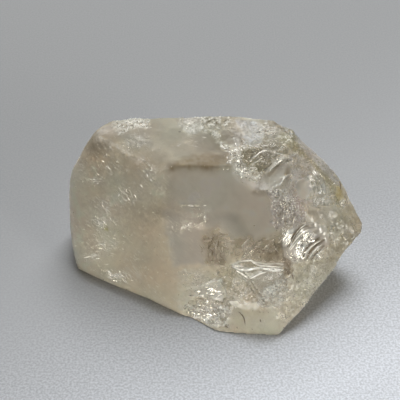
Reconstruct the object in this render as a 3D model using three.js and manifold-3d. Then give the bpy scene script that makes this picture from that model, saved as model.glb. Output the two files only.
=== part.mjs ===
// A rough topaz crystal: one end worn round, the other end broken in shell-shaped scars.
// One solid, in millimetres, +Z up, lying on a flat cleavage break at Z = 0, its origin under the middle of
// its box. X runs along the crystal, from the worn end to the broken tip, and -Y is the side with the
// clear window and the foot below it.
import * as THREE from "three";
import { ImprovedNoise } from "three/addons/math/ImprovedNoise.js";
import { mergeVertices } from "three/addons/utils/BufferGeometryUtils.js";
import Module from "manifold-3d";

const wasm = await Module();
wasm.setup();

// Driving dimensions.
const LENGTH = 53; // worn end to broken tip
const DEPTH = 35; // foot to back
const HEIGHT = 24.5; // cleavage break to top face
const FACET = 2; // width of the facets that carry the relief
const CUTTER = 1.6 * LENGTH; // side of the block that each cut takes away

// The worn shape that the crystal's faces meet in: an ellipsoid with square shoulders.
const WORN_MIDDLE = new THREE.Vector3(0, 1, 0.45 * HEIGHT);
const WORN_RADII = new THREE.Vector3(0.52 * LENGTH, 0.56 * DEPTH, 0.68 * HEIGHT);
const WORN_SQUARENESS = 4; // 2 is an ellipsoid, and a high number a box

// The flat faces that bound the whole crystal. azimuth is the way a face looks in plan, in degrees from +X
// towards +Y, rise its tilt above the horizontal, and through a point that it passes through.
const FACES = [
  { name: "top face", azimuth: 270, rise: 86, through: [0, 15.6, HEIGHT + 0.1] },
  { name: "front left face", azimuth: 239, rise: 26, through: [-21.4, -2.2, 1.5] },
  { name: "undercut of the front left face", azimuth: 239, rise: -42, through: [-21.4, -2.2, 1.5] },
  { name: "left end", azimuth: 182, rise: 3, through: [-26.6, 5, 8] },
  { name: "left end below", azimuth: 190, rise: -10, through: [-26.6, 4, 5] },
  { name: "upper left face", azimuth: 196, rise: 44, through: [-23.6, 11, 21.6] },
  { name: "upper back left face", azimuth: 150, rise: 36, through: [-22.5, 13, 21.6] },
  { name: "back left face", azimuth: 128, rise: 12, through: [-22.3, 15.5, 8] },
  { name: "back face", azimuth: 88, rise: 7, through: [0, 18.2, 8] },
  { name: "upper back face", azimuth: 92, rise: 46, through: [0, 16.2, HEIGHT - 0.8] },
  { name: "back right face", azimuth: 50, rise: 14, through: [17.9, 10.7, 20] },
  { name: "back right face below", azimuth: 52, rise: -14, through: [24.9, 5.2, 12.2] },
  { name: "upper edge of the right end", azimuth: 10, rise: 46, through: [17.9, 10.7, 20] },
  { name: "edge above the tip", azimuth: 10, rise: 28, through: [24.8, 5, 12.2] },
  { name: "upper right face", azimuth: 330, rise: 45, through: [19.7, 8, 17.9] },
  { name: "right slope", azimuth: 304, rise: 35, through: [10.9, -15.3, 1.3] },
  { name: "undercut below the tip", azimuth: 336, rise: -38, through: [11.2, -15.3, 0.5] },
  { name: "tip", azimuth: 350, rise: 0, through: [26.3, 2.4, 9] },
  { name: "foot front face", azimuth: 262, rise: 10, through: [10.5, -15.3, 0] },
];

// The blocks that the crystal is grown from. Each lies within those faces and behind its own.
const BLOCKS = [
  [{ name: "window", azimuth: 270, rise: 29, through: [0, 2.2, 23.2] }],
  [
    { name: "left foot slope", azimuth: 234, rise: 46, through: [-0.7, -13.6, 0] },
    { name: "left foot end", azimuth: 30, rise: 19, through: [3, -6.3, 8.5] },
  ],
  [
    { name: "right foot slope", azimuth: 266, rise: 55, through: [8, -14.4, 4.6] },
    { name: "right foot side", azimuth: 225, rise: 28, through: [3, -6.3, 8.5] },
    { name: "ledge", azimuth: 270, rise: 84, through: [8, -6.2, 8.8] },
  ],
];

// Scars left by flakes that broke away. Each is part of a sphere of that radius, its middle at centre. The
// ripples run round the line from the middle towards pole, between two distances from it on the sphere.
const SCARS = [
  { name: "hollow in the window's upper corner", centre: [8.2, 1.7, 26.7], radius: 6.6 },
  { name: "chip beside that hollow", centre: [1.5, 8.6, 27], radius: 4 },
  { name: "scar on the upper back edge", centre: [9.5, 13, 37.2], radius: 14 },
  {
    name: "hollow in the upper right face",
    centre: [19, -0.9, 22.6],
    radius: 8,
    pole: [17, 0, 15],
    ripples: { from: 3.5, to: 7.5, spacing: 1.2, height: 0.06 },
  },
  {
    name: "ripple shell",
    centre: [20, -11.1, 16.9],
    radius: 11.2,
    pole: [20.3, -5, 6],
    ripples: { from: 3, to: 11, spacing: 1.3, height: 0.14 },
  },
  { name: "chip on the upper left edge", centre: [-16.6, 15.4, 26.8], radius: 2.8 },
  { name: "chip beside it", centre: [-13, 15.6, 27], radius: 3 },
];

// Unevenness of the etched faces and of the scars: each line is a wave's length and its height.
const FACE_RELIEF = [
  { wave: 9, height: 0.5 },
  { wave: 3.5, height: 0.12 },
];
const SCAR_RELIEF = [
  { wave: 5.5, height: 0.7 },
  { wave: 2.3, height: 0.2 },
];

const noise = new ImprovedNoise();

// How far an uneven surface stands above its true form at a point.
function relief({ x, y, z }, waves = FACE_RELIEF) {
  return waves.reduce((sum, { wave, height }) => sum + height * noise.noise(x / wave, y / wave, z / wave), 0);
}

// Unit vector that looks along an azimuth and a rise, both in degrees.
function facing(azimuth, rise) {
  const [a, r] = [azimuth, rise].map(THREE.MathUtils.degToRad);
  return new THREE.Vector3(Math.cos(r) * Math.cos(a), Math.cos(r) * Math.sin(a), Math.sin(r));
}

// Replaces each point of a geometry by what change makes of it.
function reshape(geometry, change) {
  const position = geometry.attributes.position;
  for (let i = 0; i < position.count; i++) {
    const point = change(new THREE.Vector3().fromBufferAttribute(position, i));
    position.setXYZ(i, ...point);
  }
  return geometry;
}

// A closed three.js geometry as a manifold-3d solid.
function solidOf(geometry) {
  const bare = geometry.clone();
  for (const name of Object.keys(bare.attributes)) if (name !== "position") bare.deleteAttribute(name);
  const merged = mergeVertices(bare, 1e-4);
  return new wasm.Manifold(
    new wasm.Mesh({
      numProp: 3,
      vertProperties: merged.attributes.position.array,
      triVerts: new Uint32Array(merged.index.array),
    }),
  );
}

// A manifold-3d solid as a three.js geometry.
function geometryOf(solid) {
  const mesh = solid.getMesh();
  const geometry = new THREE.BufferGeometry();
  geometry.setAttribute("position", new THREE.Float32BufferAttribute(mesh.vertProperties, mesh.numProp));
  geometry.setIndex(new THREE.Uint32BufferAttribute(mesh.triVerts, 1));
  return geometry;
}

// The block beyond a face, to cut a solid there. Its near side carries the relief, unless it is smooth.
function beyond({ azimuth, rise, through }, smooth = false) {
  const normal = facing(azimuth, rise);
  const turn = new THREE.Quaternion().setFromUnitVectors(new THREE.Vector3(0, 0, 1), normal);
  const parts = smooth ? 1 : Math.round(CUTTER / FACET);
  const deep = CUTTER / 2;
  const block = new THREE.BoxGeometry(CUTTER, CUTTER, deep, parts, parts, 1).translate(0, 0, deep / 2);
  return solidOf(
    reshape(block, (point) => {
      const near = Math.abs(point.z) < 1e-3;
      point.applyQuaternion(turn).add(new THREE.Vector3(...through));
      return near && !smooth ? point.addScaledVector(normal, relief(point)) : point;
    }),
  );
}

// The worn shape, before any face cuts it.
function wornShape() {
  const sphere = new THREE.SphereGeometry(1, 64, 40);
  return solidOf(
    reshape(sphere, (point) => {
      const sum = point.toArray().reduce((total, part) => total + Math.abs(part) ** WORN_SQUARENESS, 0);
      const outward = point.clone();
      point.multiplyScalar(sum ** (-1 / WORN_SQUARENESS)).multiply(WORN_RADII).add(WORN_MIDDLE);
      return point.addScaledVector(outward, relief(point));
    }),
  );
}

// Height of the ripples at a distance from the pole, fading in and out at their ends.
function rippleHeight(ripples, distance) {
  if (!ripples || distance < ripples.from || distance > ripples.to) return 0;
  const share = (distance - ripples.from) / (ripples.to - ripples.from);
  const wave = Math.sin((2 * Math.PI * (distance - ripples.from)) / ripples.spacing);
  return ripples.height * wave * Math.sin(Math.PI * share) ** 0.5;
}

// A scar's uneven sphere, turned on the line through its pole, with its ripples.
function scarSolid({ centre, radius, pole, ripples }) {
  const step = ripples ? ripples.spacing / 5 : FACET;
  const profile = [];
  for (let distance = 0; distance < Math.PI * radius; ) {
    const r = radius + rippleHeight(ripples, distance);
    profile.push(new THREE.Vector2(r * Math.sin(distance / radius), r * Math.cos(distance / radius)));
    const near = ripples && distance + step > ripples.from && distance < ripples.to;
    distance += near ? step : FACET;
  }
  profile[0].x = 0;
  profile.push(new THREE.Vector2(0, -radius));
  profile.reverse();
  const middle = new THREE.Vector3(...centre);
  const towards = pole ? new THREE.Vector3(...pole).sub(middle).normalize() : new THREE.Vector3(0, 1, 0);
  const turn = new THREE.Quaternion().setFromUnitVectors(new THREE.Vector3(0, 1, 0), towards);
  const around = ripples ? 96 : 48;
  const shell = new THREE.LatheGeometry(profile, around).applyQuaternion(turn).translate(...middle);
  return solidOf(
    reshape(shell, (point) => {
      const outward = point.clone().sub(middle).normalize();
      return point.addScaledVector(outward, relief(point, SCAR_RELIEF));
    }),
  );
}

// The crystal: its blocks joined, less the scars, cut flat below, with the origin under its middle.
function crystalGeometry() {
  const whole = FACES.reduce((solid, face) => solid.subtract(beyond(face)), wornShape());
  const blocks = BLOCKS.map((faces) => faces.reduce((solid, face) => solid.subtract(beyond(face)), whole));
  const grown = blocks.reduce((solid, block) => solid.add(block));
  const broken = SCARS.reduce((solid, scar) => solid.subtract(scarSolid(scar)), grown);
  const floor = { azimuth: 0, rise: -90, through: [0, 0, 0] };
  const geometry = geometryOf(broken.subtract(beyond(floor, true)));
  geometry.computeBoundingBox();
  const middle = geometry.boundingBox.getCenter(new THREE.Vector3());
  return geometry.translate(-middle.x, -middle.y, 0);
}

const topaz = new THREE.MeshStandardMaterial({ color: 0xb9ad96, roughness: 0.3, metalness: 0 });
const crystal = new THREE.Mesh(crystalGeometry(), topaz);
crystal.name = "topaz_crystal";

const group = new THREE.Group();
group.add(crystal);

export default group;
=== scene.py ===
"""The looks of a rough topaz crystal, around the fixed frame of its CAD solid.

The crystal is one piece, crystal: a fine mesh made from the solid, relaxed where it is worn and etched where
it is rough. Small slivers lie on it, joined to five more pieces: flakes and pits are the pale and the dark
flakes of the rough breaks, the dark ones a painted shade of unlit facets, needles are glassy, veils are
faint and cracks are dark. flakes also hold pale lips and glints that mirror a light and are partly a painted
highlight, and cracks the ripple shell's dark lines, a painted dark reflection. Lengths are millimetres
while a mesh is worked on and metres in the scene. A spot or an outline is given in pixels of the 400 by 400
photograph, and lies on the crystal where the camera sees it.
"""

import math
from typing import NamedTuple

import bpy
import numpy as np
from mathutils import Matrix, Vector, noise
from mathutils.bvhtree import BVHTree


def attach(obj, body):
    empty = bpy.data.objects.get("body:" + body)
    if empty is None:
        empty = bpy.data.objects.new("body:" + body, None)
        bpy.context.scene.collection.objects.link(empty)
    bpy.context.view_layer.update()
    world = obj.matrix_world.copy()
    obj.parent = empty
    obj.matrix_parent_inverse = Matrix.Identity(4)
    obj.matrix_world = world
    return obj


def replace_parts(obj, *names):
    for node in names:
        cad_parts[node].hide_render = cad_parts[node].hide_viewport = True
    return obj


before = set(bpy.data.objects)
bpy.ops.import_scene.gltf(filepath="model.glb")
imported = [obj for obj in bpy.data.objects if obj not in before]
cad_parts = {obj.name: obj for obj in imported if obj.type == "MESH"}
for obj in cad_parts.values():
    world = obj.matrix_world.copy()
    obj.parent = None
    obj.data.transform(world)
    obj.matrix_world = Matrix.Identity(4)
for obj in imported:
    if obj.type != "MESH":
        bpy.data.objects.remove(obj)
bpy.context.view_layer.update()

MM = 0.001
NODE = "topaz_crystal"
SEED = 7
UP = Vector((0, 0, 1))
TINY = 1e-6

# The camera, as the photograph was taken: 40 degrees above the table, from the window side.
PHOTO_SIDE = 400
CAMERA_ELEVATION = math.radians(40)
CAMERA_ANGLE = math.radians(20)
CAMERA_DISTANCE = 200.0
CAMERA_CLIP = (0.01, 10)  # metres
LOOK_AT = Vector((-2.6, 0.7, 15.5))
SEEN = (-0.25, 0.1)  # from here to here in how far it faces the camera, a surface comes into sight

# The crystal's mesh, in millimetres. A pair is where a smooth change starts and ends.
VOXEL = 0.2
KEPT_FACES = 0.62  # share of the faces that stay, after the unseen ones are thinned out
HALF_WAY = 0.5  # how far a round of relaxing draws a point towards its neighbours
EVEN_ROUNDS = 4  # relaxing that takes the voxels' steps away everywhere
WORN_ROUNDS = 330  # and that rounds the creases of the worn end, twice
WORN_SHARE = 0.9  # how far a round of that draws a point
WORN_END = (12, -2)  # from here to here in X the crystal is worn, on a slant
WORN_SLANT, WORN_FROM = 0.4, 5
BACK_EDGE = (6, 11)  # from here to here in Y the worn end's top edge grows sharper
BACK_EDGE_SHARE = 0.9  # by this much
WORN_CAP = 1.3  # by no more than this the worn end shrinks, so that its outline stays
SOFT_ROUNDS = 8  # relaxing that rounds the creases of the broken end
FOOT_RIM = (1.6, 0.3)  # from here down to here in Z the rim above the table grows crisp
BLUR_ROUNDS = 12  # relaxing that blurs the curvature
BULGING = (0.04, 0.24)  # curvature of an edge that is worn bright
BROKEN_END = (-4, 4)  # from here to here in X edges grow bright
EDGE_LEAST = 0.5  # how bright such an edge is between clouds
# A crease's edge carries a painted highlight or a painted dark reflection.
CREASE_EDGE = 0.7  # how wide a crease's edge shows, of the crease's width

# Unevenness, as the height, wavelength and shift of each noise or set of facets.
ROLLING = ((0.15, 5.0, 3.0), (0.04, 1.7, 4.0))
FACETS = ((0.22, 2.4, 0.0), (0.12, 0.95, 7.0))
GRAIN_HEIGHT, GRAIN = 0.03, (0.5, 8.0)
STRAYING = ((1, 2.6, 5.0), (0.8, 0.9, 9.0))
CLOUDS = ((1, 1.6, 15.0), (0.8, 0.6, 19.0))
CLOUD_EDGE = 0.35
BREAKS = ((1, 0.9, 25.0), (0.5, 0.4, 29.0))
BREAK_EDGE = 0.25
WARMTH = ((1, 6.0, 21.0),)
PALENESS = ((0.6, 3.0, 31.0), (0.4, 1.1, 41.0))
STREAKINESS = ((1, 4.5, 51.0), (0.4, 1.5, 61.0))
STREAKY = (0.0, 0.5)
CELL_SPREAD = 97  # sets the tilts of neighbouring facets apart
HALF = Vector((0.5, 0.5, 0.5))

# How the clouds of tint change the finish.
WARM_TINT = (0.1, -0.02, -0.05)
PALE_SHADE = 0.22
PALE_CLEAR = 0.1
PALEST = 0.97
LEAST_STREAK = 0.25

# What the crystal does to light.
REFRACTION = 1.62
COAT_ROUGH = 0.12
ABSORB_COLOUR = (0.8, 0.66, 0.45)
ABSORB_DENSITY = 16.0  # in a metre

# Where the worn end keeps a sharp edge, above the window, and the ripple shell, whose ripples stay sharp.
SHARP_EDGE = [(166, 150), (236, 146), (236, 184), (172, 184)]
SHARP_EDGE_FADE = (-6, 6)
SHELL = [(281, 240), (290, 228), (312, 223), (326, 226), (330, 244), (324, 256), (306, 264), (298, 266),
         (284, 256)]
SHELL_FADE = (-1, 2)

# Slivers. Lengths, widths and thicknesses are millimetres, and pairs are a least and a most.
LOWEST_FLAKE = 0.4  # none lies lower than this
PALE_FLAKES = 5000
# The dark flakes are a painted shade of unlit facets in the rough breaks.
DARK_FLAKES = 2000
FLAKE_SIZES, FLAKE_LENGTHS, FLAKE_WIDTH, FLAKE_THICKNESS = (0.15, 0.45), (1, 2), 0.6, 0.05
FLAKE_UP = 0.6  # how far a flake turns from flat on the surface to facing up
FLAKE_STRAY = 0.3
FLAKE_SUNK = 0.04
NEEDLES = 700
STREAK_WAY = (0.77, -0.41, -0.49)  # fine streaks and the needles of the worn end lie along this way
NEEDLES_LEFT = (-0.1, -0.4)  # they lie where the surface looks to the left
NEEDLE_STRAY = 0.3
NEEDLE_LENGTHS, NEEDLE_BREADTHS, NEEDLE_THICKNESS = (0.4, 1.6), (0.06, 0.13), 0.06
NEEDLE_SUNK = (0.0, 0.06)
SHORTEST_STROKE = 0.05
STROKE_THICKNESS = 0.012
STROKE_RISE = 0.03
CLEAR_RISE = 0.3  # a way to a light is clear if it is clear from so far above the surface
SLANT_COST = 0.4  # how much a sliver would rather keep its line than keep flat on the surface
RIBBON_SLANT_COST = 1.0
MOST_LEAN = 0.25  # by how much a sliver's end may leave its line, to mirror a light
RIBBON_STEP = 1.5  # pixels
RIBBON_TAPER = 0.6
RIBBON_END = 0.05
LEAST_STEPS = 4
BRIGHT_STRAY = 0.09  # how far needles stray from the way in which they mirror a light
FAINT_STRAY = 0.15
VEIL_SPREAD = 0.6  # how far needles lie from a veil's middle, in its reach
LIP_WIDTH, GLINT_WIDTH, THIN_LIP_WIDTH, FAINT_LIP_WIDTH = 0.3, 0.24, 0.16, 0.1
STROKE_WIDTH, CRACK_WIDTH, RIPPLE_WIDTH = 0.16, 0.2, 0.3

# The slivers' materials.
PALE = {"colour": (0.97, 0.94, 0.86), "rough": 0.3, "mirror": 0.4}
BRIGHT = {"colour": (0.97, 0.94, 0.86), "rough": 0.24, "clear": 0.6, "mirror": 0.4}
FAINT = {"colour": (0.97, 0.93, 0.84), "rough": 0.35, "clear": 0.6, "mirror": 0.2}
# SHADED colours the dark flakes, a painted shade of unlit facets.
SHADED = {"colour": (0.4, 0.35, 0.25), "rough": 0.3}
DARK = {"colour": (0.2, 0.15, 0.09), "rough": 0.5}
SLIVER_SHADE, SLIVER_CLOUD_SCALE = 0.8, 1500.0

# The crystal's shader: colours, and its noises' waves in millimetres or their scale in a metre. A part is
# where a noise starts to show and where it shows in full.
# The first colour below is of pale streaks and of painted glints, and the second darkens painted unlit
# grains.
PALE_STREAK_AND_GLINT = (0.93, 0.9, 0.82)
PAINTED_UNLIT_TINT = (0.55, 0.5, 0.4)
NEEDLE_WAVES, NEEDLE_PART = (1.8, 0.3), (0.58, 0.68)
VEIL_WAVES, VEIL_PART, VEIL_STRENGTH = (3.0, 1.1), (0.5, 0.75), 0.5
# Where the cells show a painted glint, and where a painted unlit dark grain.
PAINTED_GLINT_PART, PAINTED_UNLIT_PART = (0.6, 0.75), (0.45, 0.25)
JITTER_SCALE, PAINTED_GLINT_SCALE, GLINT_SCALE, GRAIN_SCALE = 1800.0, 3000.0, 2300.0, 3000.0
JITTER = 0.0009  # metres
PALE_CLEARNESS = 0.3  # how clear a pale streak or grain is, of what is clear about it
STREAK_HEIGHT, BUMP_DISTANCE, BUMP_STRENGTH = 0.5, 0.0001, 0.8
STREAK_DETAIL, STREAK_DISTORTION, GRAIN_DETAIL = 2.0, 0.6, 3.0


class Light(NamedTuple):
    """A round light: the way to it in degrees, its size and distance in metres, and what sees it."""
    azimuth: float
    elevation: float
    size: float
    radiance: float
    colour: tuple
    distance: float = 0.6
    glossy: bool = True
    diffuse: bool = True
    through: bool = True


class Zone(NamedTuple):
    """A zone of the seen side: how far its edge fades and strays, its outline, finish and patchiness."""
    fade: float
    stray: float
    outline: list
    finish: dict
    patchy: float = 0


class Crease(NamedTuple):
    """A ridge of the broken end, a groove if it is below 0, or with a reach a step that falls off over it.
    The step rises on the right of its line, as that is followed. Its height is in millimetres."""
    height: float
    width: float
    # share and edge set how strongly and how the edge is painted: bright a painted highlight, dark a painted
    # dark reflection.
    share: float  # how strongly its edge shows
    line: list
    edge: str = "bright"
    reach: float = 0
    broken: bool = True  # its edge breaks off here and there
    stray: float = 0.5


class Veil(NamedTuple):
    """A cluster of fine needles: its middle and reach, the way they lie in degrees down from the right, how
    much that strays and their number. Some are bright or solid, the others faint. Widths are millimetres."""
    middle: tuple
    reach: tuple
    slant: float
    stray: float
    number: int
    bright: float = 1
    solid: float = 0
    half: tuple = (0.6, 4.0)  # half their length
    width: tuple = (0.03, 0.1)
    haze: float = 0.5  # how strong the haze about it is, and the streaks in that
    streaks: float = 0.9
    lean: float = None  # how far they stray from mirroring a light, if not as usual

    @property
    def faint(self):
        return 1 - self.bright - self.solid


# The lights. Some are for the card and the matte parts alone, and some only show through the crystal.
LIGHTS = {
    "back_left": Light(132, 45, 0.5, 3.0, (0.955, 0.98, 1.0), diffuse=False),
    "back_right": Light(80, 47, 0.5, 4.2, (0.955, 0.98, 1.0), glossy=False, diffuse=False),
    "key": Light(80, 57, 0.38, 9.7, (0.94, 0.97, 1.0), glossy=False, through=False),
    "fill": Light(125, 66, 0.5, 0.4, (0.94, 0.97, 1.0), glossy=False, through=False),
    "front": Light(-43, 24, 0.08, 9.5, (1.0, 0.97, 0.9), distance=0.24),
    "left": Light(198, 40, 0.15, 5, (1.0, 0.97, 0.9)),
    "sheen": Light(200, 40, 0.32, 4.5, (1.0, 0.99, 0.96), diffuse=False),
    "rim": Light(92, 40, 0.12, 9, (1.0, 1.0, 0.99)),
    "overhead": Light(60, 84, 0.1, 7, (1.0, 0.99, 0.98), distance=0.5),
}
ROOM_DARK, ROOM_PALE = (0.033, 0.031, 0.022), (0.08, 0.074, 0.05)
ROOM_WAY, ROOM_FADE = (0.0, 0.5, 0.86), (-0.4, 1.0)  # the way to its paler side, and the fade

# The card that the crystal lies on.
CARD_SIZE = 4  # metres
CARD_SUNK = 0.02  # millimetres
# The card's colour holds a painted pool of light: it runs from the dark colour to the pale one towards one
# corner.
CARD_DARK, CARD_PALE, CARD_ROUGH = (0.275, 0.275, 0.277), (0.89, 0.92, 1.0), 0.85
PAINTED_GLOW_RISE = (17.0, -30.0, 0.0)  # how its paleness grows towards one corner, in a metre
PAINTED_GLOW, MOST_PAINTED_GLOW = 0.172, 0.55
SPECKLE, SPECKLE_SCALE, SPECKLE_DETAIL, SPECKLE_PART = 0.18, 2600.0, 2.0, (0.3, 0.7)
SPECKLE_FADE = (-0.5, 0.5, 0.25, 1.0)  # the rise over which the speckle grows, and its shares there

# The crystal's finish where no zone says otherwise, and at worn edges. clear is how much light goes in, etch
# the height of small facets, glint how far tiny faces lean, gloss how strong the coat is, streak and frost
# how many fine streaks and pale flakes there are, and spark how much painted glint and painted unlit dark
# grain.
PLAIN = {"clear": 0.56, "rough": 0.5, "etch": 0.14, "glint": 0.12, "streak": 0.9, "spark": 0.0, "frost": 0.0,
         "gloss": 0.4, "tint": (0.96, 0.89, 0.73)}
EDGE = {"clear": 0.45, "rough": 0.35, "etch": 0.6, "glint": 0.4, "spark": 0.3, "tint": (0.9, 0.86, 0.76)}

# The finish along creases, by the look of their edge, and of the haze about a veil.
# bright paints a highlight along a crease's edge, and dark paints a dark reflection there.
PAINTED_EDGE_LIGHT_AND_SHADE = {
    "bright": {"clear": 0.1, "rough": 0.2, "gloss": 1.0, "tint": (0.98, 0.96, 0.9)},
    "dark": {"clear": 0.8, "rough": 0.25, "tint": (0.3, 0.26, 0.2), "glint": 0.0},
}
HAZE = {"clear": 0.3, "tint": (0.95, 0.91, 0.82)}
HAZE_FALL = 0.6  # how fast that haze thins out

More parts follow.
